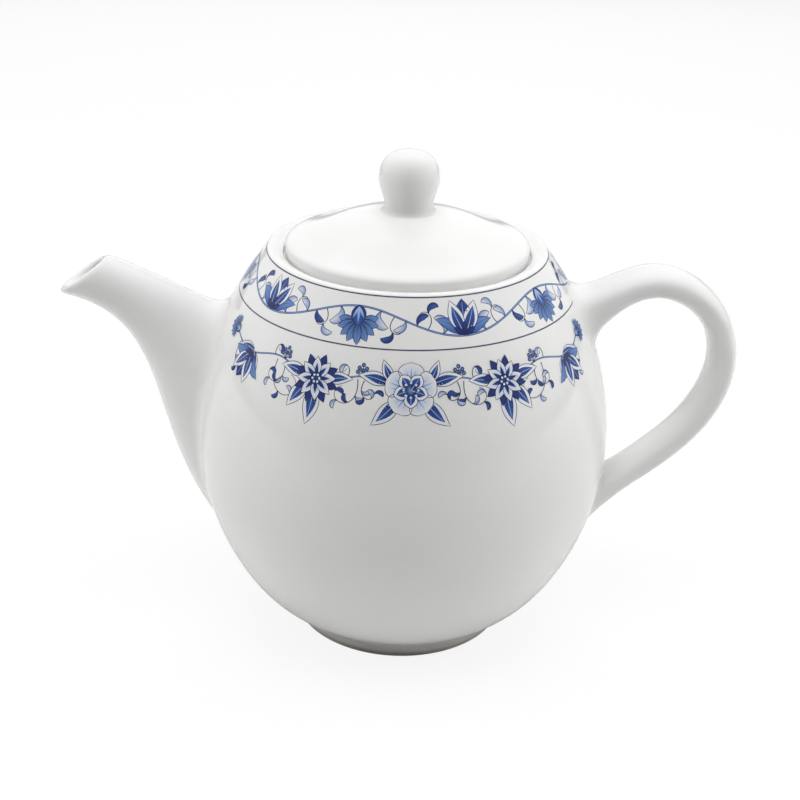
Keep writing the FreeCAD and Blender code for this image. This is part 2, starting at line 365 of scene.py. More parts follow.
def wiped_foot(name):
    """White glaze that thins out to unglazed porcelain near the standing edge, matt and with a little
    staining. All its colours are painted darker and warmer than the pot's glaze, most at the bottom: painted
    shade near the floor.
    """
    # Painted shade: the foot's glaze and unglazed colours are darker and warmer than the pot's glaze, darkest
    # at the standing edge by the floor
    stained_shaded, bare_shaded, glaze_shaded = (0.46, 0.42, 0.40, 1), (0.60, 0.56, 0.53, 1), (0.82, 0.80, 0.785, 1)
    grain_share = 0.4
    glazed_roughness, bare_roughness = 0.1, 0.6
    material, surface, place = new_finish(name)
    grain = place.node("ShaderNodeTexNoise", {"Vector": place, "Scale": 1600.0, "Detail": 4.0})
    stain = place.node("ShaderNodeTexNoise", {"Vector": place, "Scale": 120.0, "Detail": 3.0})
    bare_shaded_tone = (stain * (1 - grain_share) + grain * grain_share).blend(stained_shaded, bare_shaded)
    height = place.node("ShaderNodeSeparateXYZ", {0: place}, output=2)
    below_edge = bare_edge * MM - height + stain * (bare_wave * MM)
    wiped_and_shaded = place.node("ShaderNodeMapRange", {
        "Value": below_edge, "From Min": 0.0, "From Max": bare_fade * MM, "To Min": 0.0, "To Max": 1.0,
    }, interpolation_type="SMOOTHSTEP")
    wiped_and_shaded.blend(glaze_shaded, bare_shaded_tone).feed(surface, "Base Color")
    sheen = glazed_roughness + wiped_and_shaded * (bare_roughness - glazed_roughness)
    sheen.feed(surface, "Roughness")
    bump = place.node("ShaderNodeBump", {"Height": grain * wiped_and_shaded, "Strength": 0.3, "Distance": 0.1 * MM})
    bump.feed(surface, "Normal")
    return material


wall_meet = np.array([wall_radius(hollow_height), hollow_height])
down_the_wall = np.array([wall_radius(hollow_height - 1), hollow_height - 1]) - wall_meet
hollow_line = smooth_line([
    wall_meet, (foot_radius + hollow_spread, foot_height - hollow_drop),
    (foot_radius + foot_edge_lean, foot_edge_round),
], count=24, first=down_the_wall / np.linalg.norm(down_the_wall), last=(-0.15, -1))
standing_line = eased([
    hollow_line[-1], (foot_radius, 0), (foot_radius - foot_width, 0),
    (foot_radius - foot_width - foot_flare, foot_height),
], foot_edge_round)
inside_line = [standing_line[-1], (foot_radius, foot_height + foot_overlap), hollow_line[0]]
foot_line = np.concatenate([hollow_line, standing_line[1:], inside_line[1:]])[::-1]
foot = turned("foot", foot_line, wiped_foot("wiped_foot"))
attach(foot, "pot")
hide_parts("foot_ring")

# Spout
# The spout is cast as a hollow swan-necked tube, cut aslant to a pouring lip with a thicker beak below.
# It is luted over the strainer holes with slip, and the join is sponged to a soft fillet before glazing.
under_root, under_proud = 28.0, 1.0
top_root, top_proud = 106.0, 1.6
spout_under = [
    (wall_radius(under_root) + under_proud, under_root), (85.4, 64.0), (69.0, 102.8), (108.2, 109.3),
]
spout_top = [
    (wall_radius(top_root) + top_proud, top_root), (66.4, 109.0), (76.9, 115.3), (91.9, 121.1),
]
spout_root_width, spout_lip_width = 37.0, 15.0
spout_taper = 1.5
spout_wall, spout_lip_wall = 3.2, 2.9
lip_beak, beak_power = 1.2, 6
spout_fillet, under_fillet = 4.5, 5.5
run_into_pot = 60.0
ring_points = 64
spout_stations, lip_steps = 56, 8
lip_end = 0.97


def bezier(corners, t):
    """The point at a share t of the way along a curve with four corners."""
    corners = [np.array(c, float) for c in corners]
    weights = ((1 - t) ** 3, 3 * t * (1 - t) ** 2, 3 * t ** 2 * (1 - t), t ** 3)
    return sum(w * c for w, c in zip(weights, corners))


def spout_point(t, angle, thinner=0.0):
    """A point on the spout, or in its bore if it is thinner. Before t = 0 the spout runs on into the pot."""
    under, top = bezier(spout_under, max(t, 0)), bezier(spout_top, max(t, 0))
    span = top - under
    beak = lip_beak * thinner / spout_lip_wall * max(t, 0) ** beak_power
    high = np.linalg.norm(span) / 2 - thinner - beak / 2
    taper = (1 - max(t, 0)) ** spout_taper
    wide = (spout_lip_width + (spout_root_width - spout_lip_width) * taper) / 2 - thinner
    up_the_mouth = high * math.cos(angle) + beak / 2
    out, height = (under + top) / 2 + span / np.linalg.norm(span) * up_the_mouth
    return Vector((-out - min(t, 0) * run_into_pot, wide * math.sin(angle), height))


def on_wall(point, sunk=0.0):
    """The place on the pot's outer wall at a point's height and bearing."""
    radius = wall_radius(point.z) - sunk
    return Vector((point.x, point.y, 0)).normalized() * radius + Vector((0, 0, point.z))


def seam(point_at, angle, inside, outside, halvings=40):
    """Where a luted piece's line at an angle goes through the pot's wall, between two places on the line."""
    for _ in range(halvings):
        middle = (inside + outside) / 2
        point = point_at(middle, angle)
        if math.hypot(point.x, point.y) < wall_radius(point.z):
            inside = middle
        else:
            outside = middle
    return outside


def luted_root(point_at, angles, inside, outside, fillets, steps=8, stride=0.004, sunk=0.03):
    """The fillet round a luted piece: its rings from the wall out, and where each line leaves it."""
    towards = 1 if outside > inside else -1
    seams = [seam(point_at, a, inside, outside) for a in angles]
    seam_points = [point_at(s, a) for s, a in zip(seams, angles)]
    middle = sum(seam_points, Vector()) / len(seam_points)
    leaves = []
    ends = []
    for s, a, meet, fillet in zip(seams, angles, seam_points, fillets):
        leave = s
        while (point_at(leave, a) - meet).length < fillet:
            leave += towards * stride
        away = meet - middle
        square = Vector((meet.x, meet.y, 0)).normalized()
        away = (away - square * away.dot(square)).normalized()
        leaves.append(leave)
        ends.append((on_wall(meet + away * fillet, sunk), meet, point_at(leave, a)))
    rings = []
    for step in range(steps):
        s = step / steps
        rings.append([(1 - s) ** 2 * b + 2 * s * (1 - s) * m + s ** 2 * p for b, m, p in ends])
    return rings, leaves


def skinned(name, rings, material, closed):
    """A tube of rings of points: a closed one's last ring joins its first, an open one's ends are filled."""
    count = len(rings[0])
    points = [p for ring in rings for p in ring]
    faces = []
    for i in range(len(rings) if closed else len(rings) - 1):
        here, there = i * count, (i + 1) % len(rings) * count
        for k in range(count):
            after = (k + 1) % count
            faces.append((here + k, here + after, there + after, there + k))
    if not closed:
        faces.append(tuple(range(count))[::-1])
        faces.append(tuple(range(len(points) - count, len(points))))
    piece = new_piece(name, points, faces=faces)
    piece.data.materials.append(material)
    piece.data.shade_smooth()
    return piece


angles = [-math.tau * k / ring_points for k in range(ring_points)]
spout_fillets = [spout_fillet + under_fillet * max(-math.cos(a), 0) ** 4 for a in angles]
spout_rings, spout_leaves = luted_root(spout_point, angles, inside=-0.3, outside=0.6, fillets=spout_fillets)
for step in range(spout_stations):
    share = step / (spout_stations - 1)
    spout_rings.append([spout_point(t + (lip_end - t) * share, a) for t, a in zip(spout_leaves, angles)])
for step in range(1, lip_steps):
    half_turn = math.pi * step / lip_steps
    thinner = spout_lip_wall * (1 - math.cos(half_turn)) / 2
    rounding = lip_end + (1 - lip_end) * math.sin(half_turn)
    spout_rings.append([spout_point(rounding, a, thinner) for a in angles])
for step in range(spout_stations):
    t = lip_end * (1 - step / (spout_stations - 1))
    thickness = spout_wall + (spout_lip_wall - spout_wall) * t
    spout_rings.append([spout_point(t, a, thickness) for a in angles])
spout_rings.append([on_wall(p, wall_thickness / 2) for p in spout_rings[-1]])
pouring_spout = skinned("pouring_spout", spout_rings, white_glaze, closed=True)
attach(pouring_spout, "pot")
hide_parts("spout")

# Handle
# The handle is a solid oval strap, cast in a curve, that tapers a little towards its lower end. It thickens
# to a broad foot at the shoulder and a slimmer one low on the belly, both luted to the wall like the spout.
upper_root_height, lower_root_height = 106.0, 41.8
root_depth = 7.0
upper_root = np.array([wall_radius(upper_root_height), upper_root_height])
lower_root = np.array([wall_radius(lower_root_height), lower_root_height])
upper_neck = (5.5, 5.2)
handle_stations = [
    inset(upper_root, root_depth), upper_root + upper_neck, (76.0, 117.6), (93.4, 109.4), (99.3, 90.8),
    (92.9, 72.6), (74.6, 53.9), lower_root - (root_depth, root_depth / 2),
]
handle_width, handle_thickness = 17.6, 8.8
handle_width_taper, handle_thickness_taper = 3.2, 0.7
handle_root_width, handle_root_thickness = 20.0, 21.0
flare_share, lower_flare = 0.18, 0.56
strap_fullness = 0.8
upper_fillet, lower_fillet = 5.0, 3.5
handle_steps = 90
handle_line = smooth_line(handle_stations, count=400)
handle_ahead = np.gradient(handle_line, axis=0)
handle_ahead /= np.linalg.norm(handle_ahead, axis=1)[:, None]


def handle_point(share, angle):
    """A point of the strap's surface, at a share of the way from its upper foot to its lower one."""
    at = np.clip(share, 0, 1) * (len(handle_line) - 1)
    index = np.arange(len(handle_line))
    out, height, ahead_out, ahead_up = (
        np.interp(at, index, values) for values in (*handle_line.T, *handle_ahead.T))
    flare = max(1 - share / flare_share, 0) ** 2 + lower_flare * max(1 - (1 - share) / flare_share, 0) ** 2
    full_in, full_across = (
        math.copysign(abs(c) ** strap_fullness, c) for c in (math.cos(angle), math.sin(angle)))
    thick = handle_thickness - handle_thickness_taper * share
    wide = handle_width - handle_width_taper * share
    thick = (thick + (handle_root_thickness - thick) * flare) / 2 * full_in
    wide = (wide + (handle_root_width - wide) * flare) / 2 * full_across
    return Vector((out - ahead_up * thick, wide, height + ahead_out * thick))


handle_rings, upper_leaves = luted_root(
    handle_point, angles, inside=0.0, outside=0.3, fillets=[upper_fillet] * ring_points)
lower_rings, lower_leaves = luted_root(
    handle_point, angles, inside=1.0, outside=0.7, fillets=[lower_fillet] * ring_points)
for step in range(handle_steps):
    share = step / (handle_steps - 1)
    strap_lines = zip(upper_leaves, lower_leaves, angles)
    handle_rings.append([handle_point(a + (b - a) * share, angle) for a, b, angle in strap_lines])
handle_rings += lower_rings[::-1]
strap_handle = skinned("strap_handle", handle_rings, white_glaze, closed=False)
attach(strap_handle, "pot")
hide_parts("handle")

# Printed transfers
# Blue flowers are printed on thin film, slid on to the glazed pot and fired into the glaze: a wavy stem with
# cornflowers and bellflowers between two ring lines, and below it, on each face of the pot, a garland with a
# wild rose, asters and bellflowers.
print_lift = 0.02
layer_step = 0.0007
line_width = 0.2
edge_shade = 0.8
heart_length, heart_width, heart_fullest = 0.84, 0.64, 0.92


def ink(red, green, blue):
    """A printed colour, given as display bytes, in the renderer's linear values."""
    return np.array([((c / 255 + 0.055) / 1.055) ** 2.4 for c in (red, green, blue)] + [1.0])


navy = ink(8, 20, 76)
deep_blue = ink(22, 50, 130)
mid_blue = ink(50, 96, 176)
sky_blue = ink(116, 158, 216)
pale_blue = ink(190, 208, 234)
bare_white = ink(238, 238, 239)
line_ink = ink(40, 46, 78)


def headed(degrees):
    """A step of 1 in a heading."""
    return np.array([math.cos(math.radians(degrees)), math.sin(math.radians(degrees))])


class Transfer:
    """A sheet of printed shapes, drawn flat in millimetres: x along the pot's wall and y up it."""

    def __init__(self):
        self.points = []
        self.faces = []
        self.inks = []
        self.layer = print_lift

    def patch(self, rows, inks):
        """A patch of rows of points with their inks. Each patch lies on those printed before it."""
        start, width = len(self.points), len(rows[0])
        for row_points, row_inks in zip(rows, inks):
            self.points += [(x, y, self.layer) for x, y in row_points]
            self.inks += list(row_inks)
        for i in range(len(rows) - 1):
            for k in range(width - 1):
                a = start + i * width + k
                corners = [a, a + 1, a + width + 1, a + width]
                place = np.array([self.points[c][:2] for c in corners])
                spin = np.cross(place[2] - place[0], place[3] - place[1])
                self.faces.append(tuple(corners if spin > 0 else corners[::-1]))
        self.layer += layer_step

    def line(self, points, width, colour, end_share=1.0):
        """A pen line through points, which can thin out to a share of its width."""
        points = np.array(points, float)
        ahead = np.gradient(points, axis=0)
        ahead /= np.maximum(np.linalg.norm(ahead, axis=1), 1e-9)[:, None]
        side = np.column_stack([-ahead[:, 1], ahead[:, 0]])
        half = (width / 2 * np.linspace(1, end_share, len(points)))[:, None]
        rows = np.stack([points - side * half, points + side * half], axis=1)
        self.patch(rows, [[colour, colour]] * len(points))

    def dot(self, centre, radius, middle, rim):
        """A round spot, from one ink in the middle to another at the rim."""
        turns = np.linspace(0, math.tau, 13)
        centre = np.array(centre, float)
        edge = centre + radius * np.column_stack([np.cos(turns), np.sin(turns)])
        self.patch([[centre, p] for p in edge], [[middle, rim]] * len(turns))

    def leaf(self, root, heading, length, width, inks, bend=0, fullest=0.45, blunt=1.0, outline=True,
             vein=None, lit_side=0):
        """A leaf or petal, with a heading and a bend in degrees, that is widest part of the way along.
        Its third ink shades both edges, or only the one away from its lit side: 1 is left, -1 is right."""
        share = np.linspace(0, 1, 11)
        turn = np.radians(heading + bend * share)
        ahead = np.column_stack([np.cos(turn), np.sin(turn)])
        walk = np.concatenate([[[0, 0]], np.cumsum((ahead[1:] + ahead[:-1]) / 2, axis=0)])
        middle = np.array(root, float) + walk * length / (len(share) - 1)
        side = np.column_stack([-ahead[:, 1], ahead[:, 0]])
        half = width / 2 * np.abs(np.sin(math.pi * share ** (math.log(0.5) / math.log(fullest)))) ** blunt
        across = (-1, -0.5, 0, 0.5, 1)
        rows = [[m + s * h * v for v in across] for m, s, h in zip(middle, side, half)]
        base, tip, edge = inks
        depths = [v if lit_side == 0 else (1 - v * lit_side) / 2 for v in across]
        shades = []
        for u in share:
            body = base + (tip - base) * u
            shades.append([body + (edge - body) * edge_shade * depth ** 2 for depth in depths])
        self.patch(rows, shades)
        if outline:
            self.line([r[0] for r in rows] + [r[-1] for r in rows[-2::-1]], line_width, line_ink)
        if vein is not None:
            self.line(middle[:-1], line_width, vein, 0.4)
        return middle[-1]

    def cored(self, root, heading, length, width, bend=0, fullest=0.45, blunt=1.0):
        """A white leaf or petal with an outline, a dark shaded heart and a pale vein."""
        self.leaf(root, heading, length, width, (pale_blue, bare_white, bare_white), bend, fullest, blunt)
        self.leaf(root, heading, length * heart_length, width * heart_width, (navy, mid_blue, deep_blue),
                  bend * heart_length, fullest * heart_fullest, outline=False, vein=pale_blue)

    def sprig(self, root, heading, length, curl, leaves, size):
        """A fine stalk that curls up tighter towards its end, with comma leaves at shares of its length."""
        share = np.linspace(0, 1, 30)
        turn = np.radians(heading + curl * share ** 1.8)
        walk = np.cumsum(np.column_stack([np.cos(turn), np.sin(turn)]), axis=0)
        points = np.array(root, float) + walk * length / len(share)
        self.line(points, 0.3, line_ink, 0.5)
        for place, side in leaves:
            at = int(place * (len(share) - 1))
            self.comma(points[at], math.degrees(turn[at]) + side * 24, size, side * 150, light=side > 0)

    def stem(self, points, width):
        """A stalk through a few points: a dark outline with a pale middle."""
        line = smooth_line(points, 12 * len(points))
        self.line(line, width, line_ink)
        self.line(line, width * 0.45, sky_blue)

    def spots(self, centre, count, tilt, reach, radius):
        """A ring of small white spots round a flower's heart."""
        for spot in range(count):
            place = np.array(centre, float) + reach * headed(tilt + spot * 360 / count)
            self.dot(place, radius, bare_white, pale_blue)

    def wild_rose(self, centre, size, tilt):
        """Five broad white petals, five smaller ones with dark hearts before them, and a ring of stamens."""
        for petal in range(5):
            heading = tilt + petal * 72
            self.leaf(centre, heading, size, size * 0.98, (sky_blue, bare_white, bare_white),
                      fullest=0.68, blunt=0.6)
            for spread in (-14, 0, 14):
                self.leaf(centre, heading + spread, size * (0.86 - abs(spread) / 120), size * 0.05,
                          (mid_blue, sky_blue, sky_blue), outline=False)
        for petal in range(5):
            heading = tilt + 36 + petal * 72
            self.cored(centre, heading, size * 0.66, size * 0.5, fullest=0.6, blunt=0.8)
        self.dot(centre, size * 0.2, sky_blue, navy)
        self.spots(centre, 8, tilt, size * 0.27, size * 0.045)

    def aster(self, centre, size, tilt):
        """A star of pointed petals, dark ones behind and white ones in front, round a spotted heart."""
        for petal in range(8):
            heading = tilt + petal * 45
            self.leaf(centre, heading + 22.5, size, size * 0.4, (navy, deep_blue, navy), fullest=0.55)
        for petal in range(8):
            heading = tilt + petal * 45
            self.leaf(centre, heading, size * 0.86, size * 0.4, (sky_blue, bare_white, bare_white),
                      fullest=0.5)
            self.leaf(centre, heading, size * 0.6, size * 0.16, (navy, deep_blue, deep_blue), outline=False)
        self.dot(centre, size * 0.27, deep_blue, navy)
        self.spots(centre, 6, tilt, size * 0.15, size * 0.05)

    def cornflower(self, root, heading, size):
        """A flower seen from the side: a fan of toothed petals out of a scaly cup."""
        root = np.array(root, float)
        for spread in (-76, 76, -56, 56, -36, 36, -18, 18, 0):
            reach = size * (1.0 - abs(spread) / 300)
            self.leaf(root, heading + spread, reach, size * 0.3, (navy, sky_blue, mid_blue),
                      bend=spread * 0.4, fullest=0.62, vein=navy)
        ahead = headed(heading)
        cup = root - ahead * size * 0.5
        self.leaf(cup, heading, size * 0.8, size * 0.56, (deep_blue, mid_blue, navy), blunt=0.7)
        for scale, reach in ((-26, 0.5), (26, 0.5), (0, 0.64)):
            self.leaf(cup + ahead * size * 0.06, heading + scale, size * reach, size * 0.11,
                      (pale_blue, sky_blue, mid_blue), outline=False)

    def bellflower(self, root, heading, size):
        """A bell: two outer petals that turn out at their tips, over a dark inner one, with its sepals."""
        for side in (-1, 1):
            self.leaf(root, heading + side * 40, size * 0.9, size * 0.34, (deep_blue, sky_blue, mid_blue),
                      bend=side * 44, vein=navy)
        self.leaf(root, heading, size * 0.98, size * 0.5, (navy, deep_blue, mid_blue), fullest=0.55,
                  vein=pale_blue)
        for side in (-1, 1):
            self.cored(root, heading + side * 25, size, size * 0.4, bend=-side * 8, fullest=0.52)
        for side in (-1, 0, 1):
            self.leaf(root, heading + side * 52, size * 0.38, size * 0.16, (navy, deep_blue, navy),
                      outline=False)

    def leaf_pair(self, root, heading, length, spread):
        """Two pointed leaves on either side of a stalk."""
        for side in (-1, 1):
            self.cored(root, heading + side * spread, length, length * 0.38, bend=-side * 22, fullest=0.42)

    def comma(self, root, heading, length, bend, light=False):
        """A small leaf like a comma: a fine tail that curls round into a full head."""
        inks = (sky_blue, bare_white, mid_blue) if light else (deep_blue, mid_blue, navy)
        self.leaf(root, heading, length, length * 0.36, inks, bend=bend, fullest=0.6, blunt=0.85,
                  lit_side=1 if bend > 0 else -1)

    def berries(self, root, heading, size):
        """A bunch of round berries on short stalks."""
        root = np.array(root, float)
        for spread, reach in ((-48, 0.72), (-24, 1.0), (0, 0.68), (24, 1.0), (48, 0.72), (0, 1.25)):
            end = root + size * reach * headed(heading + spread)
            self.line([root, (root + end) / 2, end], line_width, line_ink)
            self.dot(end, size * 0.24, line_ink, line_ink)
            self.dot(end, size * 0.18, sky_blue, deep_blue)


def printed_ink(name):
    """The blue ink under its gloss: each shape's own colour, with the fine mottle of a printed film."""
    film, film_share = (0.6, 0.64, 0.74, 1), 0.03
    material, surface, place = new_finish(name)
    mottle = place.node("ShaderNodeTexNoise", {"Vector": place, "Scale": 2200.0, "Detail": 2.0})
    shade = place.node("ShaderNodeAttribute", attribute_name="ink")
    (mottle * film_share).blend(shade, film).feed(surface, "Base Color")
    surface.inputs["Roughness"].default_value = 0.12
    surface.inputs["IOR"].default_value = 1.5
    return material


# The wrap: it sets copies of a flat sheet side by side and bends them round the pot, up along its wall
wrap_tree, wrap, wrap_keys = new_tree("wrapped", [
    ("Wall", "NodeSocketObject"), ("Copies", "NodeSocketInt"), ("Pitch", "NodeSocketFloat"),
    ("Reference Radius", "NodeSocketFloat"), ("Up The Wall", "NodeSocketFloat"),
    ("Start Angle", "NodeSocketFloat"), ("Material", "NodeSocketMaterial"),
])
one_pitch = wrap["Pitch"].node("ShaderNodeCombineXYZ", {0: wrap["Pitch"]})
places = one_pitch.node("GeometryNodeMeshLine", {
    "Count": wrap["Copies"], "Offset": one_pitch,
}, mode="OFFSET")
sheets = places.node("GeometryNodeInstanceOnPoints", {"Points": places, "Instance": wrap["Geometry"]})
sheets = places.node("GeometryNodeRealizeInstances", {"Geometry": sheets})
wall_shape = places.node("GeometryNodeObjectInfo", {"Object": wrap["Wall"]}, output="Geometry")
wall_curve = places.node("GeometryNodeMeshToCurve", {0: wall_shape})
flat_place = places.node("GeometryNodeInputPosition")
flat_x, flat_y, flat_lift = (
    places.node("ShaderNodeSeparateXYZ", {0: flat_place}, output=axis) for axis in range(3))
sampled = {"Curves": wall_curve, "Length": wrap["Up The Wall"] + flat_y}
wall_place, wall_ahead = (
    places.node("GeometryNodeSampleCurve", sampled, output=reading, mode="LENGTH", use_all_curves=True)
    for reading in ("Position", "Tangent"))
wall_out, wall_up = (places.node("ShaderNodeSeparateXYZ", {0: wall_place}, output=axis) for axis in (0, 2))
lean_out, lean_up = (places.node("ShaderNodeSeparateXYZ", {0: wall_ahead}, output=axis) for axis in (0, 2))
print_radius = wall_out + lean_up * flat_lift
print_height = wall_up - lean_out * flat_lift
bearing = wrap["Start Angle"] + flat_x / wrap["Reference Radius"]
wrapped_place = places.node("ShaderNodeCombineXYZ", {
    0: print_radius * bearing.math("SINE", bearing), 1: 0 - print_radius * bearing.math("COSINE", bearing),
    2: print_height,
})
wrapped = places.node("GeometryNodeSetPosition", {"Geometry": sheets, "Position": wrapped_place})
wrapped = places.node("GeometryNodeSetShadeSmooth", {0: wrapped, "Shade Smooth": True})
wrapped = places.node("GeometryNodeSetMaterial", {"Geometry": wrapped, "Material": wrap["Material"]})
close_tree(wrap_tree, wrapped)

blue_ink = printed_ink("blue_ink")
track = np.concatenate([outer_line, lip_line[1:]])
track_length = np.concatenate([[0], np.cumsum(np.linalg.norm(np.diff(track, axis=0), axis=1))])
wall_track = line_piece("wall_track", track)
middle_ring_height = 114.0
middle_ring = float(np.interp(middle_ring_height, outer_line[:, 1], track_length[:len(outer_line)]))
rim_ring = float(track_length[len(outer_line) - 1])


def print_on_pot(name, drawing, copies, reference_radius, up_the_wall, start_degrees):
    """Fires a drawn sheet on to the pot, in equal copies all the way round."""
    piece = new_piece(name, drawing.points, faces=drawing.faces)
    colours = piece.data.color_attributes.new("ink", "FLOAT_COLOR", "POINT")
    colours.data.foreach_set("color", np.array(drawing.inks, np.float32).ravel())
    run_tree(piece, wrap_tree, wrap_keys, {
        "Wall": wall_track, "Copies": copies, "Pitch": math.tau * reference_radius * MM / copies,
        "Reference Radius": reference_radius * MM, "Up The Wall": up_the_wall * MM,
        "Start Angle": math.radians(start_degrees), "Material": blue_ink,
    })
    piece.visible_shadow = False
    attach(piece, "pot")


def mirrored(side, heading):
    """A heading drawn for the right half of a pattern, turned over when it is used on the left half."""
    return heading if side > 0 else 180 - heading


ring_radius = 50.0
ring_copies = 48
ring_pitch = math.tau * ring_radius / ring_copies
ring_width, ring_ink = 0.42, ink(70, 76, 98)
rim_ring_drop = 0.1
for ring_name, ring_place in (("rim_ring", rim_ring - rim_ring_drop), ("middle_ring", middle_ring)):
    ring_line = Transfer()
    ring_line.line([(ring_pitch * share, 0) for share in (0, 0.25, 0.5, 0.75, 1)], ring_width, ring_ink)
    print_on_pot(ring_name + "_print", ring_line, ring_copies, ring_radius, ring_place, 0)

border_radius = 46.5
border_copies = 5
border_pitch = math.tau * border_radius / border_copies
border_middle = (rim_ring - middle_ring) / 2
border_wave = 4.0
border_turn = -34.0
flower_place = 14.4


def border_stem(x):
    """The point on the border's wavy stem at a place along it."""
    return x, border_middle + border_wave * math.sin(math.tau * x / border_pitch)


border = Transfer()
border.stem([border_stem(x) for x in np.linspace(0, border_pitch, 17)], 0.6)
for start, side in ((0, -1), (border_pitch / 2, 1)):
    for x, heading, curl in ((4.4, -58, -270), (24.6, -122, 270)):
        leaves = ((0.5, math.copysign(1, side * curl)),)
        border.sprig(border_stem(start + x), -side * heading, 10, -side * curl, leaves, 4.8)
    for x, heading, length, bend, light in (
        (8.4, -40, 7.0, -150, True), (20.8, -140, 7.0, 150, True), (1.6, -96, 5.0, 110, False),
        (27.6, -84, 5.0, -110, True),
    ):
        border.comma(border_stem(start + x), -side * heading, length, -side * bend, light)
border.cornflower((flower_place, 8.0), -84, 7.6)
border.bellflower((border_pitch / 2 + flower_place, 3.6), 86, 10.6)
print_on_pot("border_print", border, border_copies, border_radius, middle_ring, border_turn)

garland_radius = 57.5
garland_turn = 2.0
half_stalk = [(14, -8), (28, -11.5), (42, -7.5), (55, -10), (66, -7)]
garland = Transfer()
garland.stem([(-x, y) for x, y in half_stalk[::-1]] + [(0, -11)] + half_stalk, 0.5)


def garland_leaves(side, leaves):
    """White leaves with dark hearts, on one half of the garland."""
    for x, y, heading, length, width, bend in leaves:
        garland.cored((side * x, y), mirrored(side, heading), length, width, bend=side * bend)


for side in (-1, 1):
    hooks = ((0.3, -side), (0.48, side), (0.66, -side), (0.84, side))
    for x, y, heading, length, curl in (
        (15.4, -8.4, -98, 17, 270), (13.2, -8.8, -66, 11, -280), (42.5, -7.8, -84, 22, -260),
        (39.6, -8.0, -104, 15, 280), (61.5, -8.2, -74, 18, -300),
    ):
        garland.sprig((side * x, y), mirrored(side, heading), length, side * curl, hooks, 3.4)
    for x, y, heading, way in ((18.4, -8.8, 104, -side), (44.0, -7.8, 74, side)):
        garland.sprig((side * x, y), mirrored(side, heading), 9, way * 380, ((0.4, way),), 3.6)
    for x, y, heading in ((14.2, -8.2, 92), (40.0, -7.8, 98)):
        garland.berries((side * x, y), mirrored(side, heading), 2.7)
    garland_leaves(side, (
        (28, -12.5, -92, 11.5, 4.8, 14), (30, -12.0, -48, 10.0, 4.2, -16),
        (31, -10.5, 20, 9.5, 3.8, -26), (25, -10.5, 158, 8.5, 3.4, 26),
    ))
    garland.aster((side * 28, -10.6), 7.2, 8)
    garland.leaf_pair((side * 53.2, -9.4), mirrored(side, -56), 8.0, spread=66)
    garland.bellflower((side * 54, -9.8), mirrored(side, -66), 10.0)
    garland.cornflower((side * 67.0, -6.6), mirrored(side, 4), 4.8)
    garland_leaves(side, (
        (3.5, -13.5, -56, 10.5, 4.4, 18), (6, -9.5, 24, 9.5, 3.8, -26), (5, -9.0, 52, 7.0, 3.0, 20),
    ))
garland.wild_rose((0, -11), 7.6, 90)
print_on_pot("garland_print", garland, 2, garland_radius, middle_ring, garland_turn)
bpy.data.objects.remove(wall_track)

# Lid
# The lid is a low glazed dome with a rounded edge that sits in the recess. A skirt under it hangs in the
# throat to keep it from falling out, and one small hole behind the knob lets air in as the tea is poured.
lid_low, lid_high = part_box("lid")
lid_radius = lid_high.y / MM
seat_height = lid_high.z / MM
knob_seat_radius = 7.3
lid_edge_upright, lid_edge_rise, lid_edge_width = 3.4, 5.4, 2.8
dome_swell = 0.9
lid_wall, skirt_wall = 3.4, 3.0
skirt_play = 0.8
edge_round, skirt_round, skirt_straight = 0.5, 1.2, 3.0
vent_diameter, vent_place = 3.4, 20.0
vent_pin, vent_pin_rise = 18.0, 8.0
lid_edge_height = ledge_height + lid_edge_rise
lid_shoulder = lid_radius - lid_edge_width
skirt_radius = throat_radius - skirt_play
skirt_inner_radius = skirt_radius - skirt_wall
skirt_foot = lid_low.z / MM
middle_radius = (knob_seat_radius + lid_shoulder) / 2
middle_height = (seat_height + lid_edge_height) / 2 + dome_swell
dome_line = smooth_line([
    (lid_radius, ledge_height + lid_edge_upright), (lid_shoulder, lid_edge_height),
    (middle_radius, middle_height), (knob_seat_radius, seat_height),
], count=60, first=(0, 1))
lid_hollow = smooth_line([
    (skirt_inner_radius, ledge_height - lid_wall / 2), (middle_radius, middle_height - lid_wall),
    (0, seat_height - lid_wall),
], count=40, first=(0, 1), last=(-1, 0))[::-1]
lid_edge_line = eased([
    (skirt_radius, skirt_foot + skirt_straight), (skirt_radius, ledge_height), (lid_radius, ledge_height),
    dome_line[0],
], edge_round)
skirt_line = eased([
    lid_hollow[-1], (skirt_inner_radius, skirt_foot), (skirt_radius, skirt_foot), lid_edge_line[0],
], skirt_round)
lid_line = np.concatenate([lid_hollow, skirt_line[1:-1], lid_edge_line, dome_line[1:], [(0, seat_height)]])
lid_cover = turned("lid_cover", lid_line, white_glaze)
vent_centre = (0, vent_place, ledge_height + vent_pin_rise)
pierce(lid_cover, [vent_centre], vent_diameter, vent_pin, (0, 0, 0), white_glaze)
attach(lid_cover, "lid")
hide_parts("lid")

# Knob
# The knob is a small acorn of the same porcelain, widest above its middle, luted on the lid's flat seat.
# A thumb and finger lift the lid by it.
knob_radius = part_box("lid_knob")[1].y / MM
knob_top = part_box("lid_knob")[1].z / MM
knob_seat = np.array([knob_seat_radius, seat_height])
knob_fillet, knob_waist, knob_neck = (1.6, -0.45), (0.1, 1.6), (0.35, 3.6)
knob_rise, knob_sunk = 10.2, 0.6
knob_widest = seat_height + knob_rise
crown_share, crown_width = 0.72, 0.76
knob_crown = knob_widest + (knob_top - knob_widest) * crown_share
knob_line = smooth_line([
    knob_seat + knob_fillet, knob_seat + knob_waist, knob_seat + knob_neck, (knob_radius, knob_widest),
    (knob_radius * crown_width, knob_crown), (0, knob_top),
], count=70, first=(-0.97, 0.25), last=(-1, 0))
knob_line = np.concatenate([[(0, seat_height - knob_sunk)], knob_line])
knob = turned("knob", knob_line, white_glaze, segments=128)
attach(knob, "lid")
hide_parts("lid_knob")

